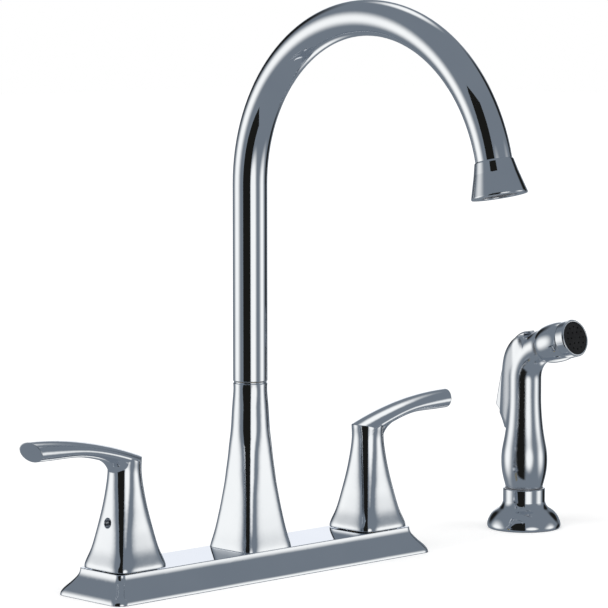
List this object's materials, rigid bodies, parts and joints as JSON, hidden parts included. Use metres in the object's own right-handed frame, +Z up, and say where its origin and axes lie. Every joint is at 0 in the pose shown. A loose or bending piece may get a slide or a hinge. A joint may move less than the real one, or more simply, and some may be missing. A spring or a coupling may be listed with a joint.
{
  "type": "two handle kitchen faucet",
  "caption": "Deck-mounted kitchen faucet with a swivelling gooseneck spout, lever handles on a shared deck plate and a separate pull-out side spray in its holder.",
  "frame": {"origin": "centre of the deck plate, on the sink deck under it (the underside of the deck gasket)", "axes": "+X towards the side spray along the deck plate, -Y towards the person at the sink, +Z up"},
  "size_m": [0.4417, 0.249, 0.4005],
  "materials": {
    "chrome": "polished chrome plate",
    "brass": "machined",
    "black_rubber": "matte",
    "grey_plastic": "satin",
    "steel": "satin",
    "ceramic": "polished"
  },
  "bodies": {
    "base": {"deck_gasket": "black_rubber", "deck_plate": "chrome", "diverter_seat": "grey_plastic", "left_cartridge_housing": "brass", "left_cross_tube": "brass", "left_fixed_disc": "ceramic", "left_seat_seal": "black_rubber", "left_valve_body": "brass", "mounting_nuts": "steel", "mounting_washers": "grey_plastic", "right_cartridge_housing": "brass", "right_cross_tube": "brass", "right_fixed_disc": "ceramic", "right_seat_seal": "black_rubber", "right_valve_body": "brass", "spout_bearing_ring": "chrome", "spout_hub": "brass", "spout_pedestal": "chrome", "spray_holder": "chrome", "spray_holder_gasket": "black_rubber", "spray_holder_liner": "grey_plastic", "spray_holder_nut": "grey_plastic", "spray_holder_washer": "grey_plastic", "spray_hose_nipple": "brass"},
    "left_handle_body": {"left_handle": "chrome", "left_set_screw": "steel", "left_stem": "brass", "left_moving_disc": "ceramic"},
    "right_handle_body": {"right_handle": "chrome", "right_set_screw": "steel", "right_stem": "brass", "right_moving_disc": "ceramic"},
    "spout_body": {"spout_tube": "chrome", "spout_spigot": "brass", "spout_orings": "black_rubber", "nozzle_shell": "chrome", "aerator_housing": "grey_plastic", "aerator_washer": "black_rubber", "aerator_screen": "grey_plastic"},
    "diverter_body": {"diverter_piston": "grey_plastic", "diverter_seal": "black_rubber", "diverter_spring": "steel"},
    "spray_coupling_body": {"spray_coupling": "brass"},
    "spray_wand_body": {"spray_wand": "chrome", "spray_head_ring": "chrome", "spray_face_rim": "chrome", "spray_face": "black_rubber", "spray_valve_seat": "grey_plastic", "spray_trigger_pin": "steel"},
    "spray_trigger_body": {"spray_trigger": "chrome"},
    "spray_plunger_body": {"spray_valve_plunger": "grey_plastic"}
  },
  "joints": [
    {"name": "left_handle_turn", "type": "hinge", "parent": "base", "child": "left_handle_body", "pos_m": [-0.1016, 0, 0.02], "axis": [0, 0, 1], "range_deg": [0, 90]},
    {"name": "right_handle_turn", "type": "hinge", "parent": "base", "child": "right_handle_body", "pos_m": [0.1016, 0, 0.02], "axis": [0, 0, -1], "range_deg": [0, 90]},
    {"name": "spout_swivel", "type": "hinge", "parent": "base", "child": "spout_body", "pos_m": [0, 0, 0.1183], "axis": [0, 0, 1], "continuous": true},
    {"name": "diverter_lift", "type": "slide", "parent": "base", "child": "diverter_body", "axis": [0, 0, 1], "range_m": [0, 0.003], "stiffness_N_per_m": 100, "springref_m": -0.003, "deforming": ["diverter_spring"]},
    {"name": "spray_lift", "type": "slide", "parent": "base", "child": "spray_coupling_body", "axis": [0, 0, 1], "range_m": [0, 0.08]},
    {"name": "spray_swivel", "type": "hinge", "parent": "spray_coupling_body", "child": "spray_wand_body", "pos_m": [0.2424, -0.0062, 0.02], "axis": [0, 0, 1], "continuous": true},
    {"name": "spray_trigger_press", "type": "hinge", "parent": "spray_wand_body", "child": "spray_trigger_body", "pos_m": [0.2424, -0.0017, 0.1205], "axis": [-1, 0, 0], "range_deg": [0, 5], "stiffness_Nm_per_rad": 2, "springref_deg": -2.86},
    {"name": "spray_plunger_push", "type": "slide", "parent": "spray_wand_body", "child": "spray_plunger_body", "axis": [0, -1, 0], "range_m": [0, 0.0019]}
  ],
  "couplings": [
    {"joint": "spray_plunger_push", "follows": "spray_trigger_press", "m_per_rad": 0.0205}
  ]
}
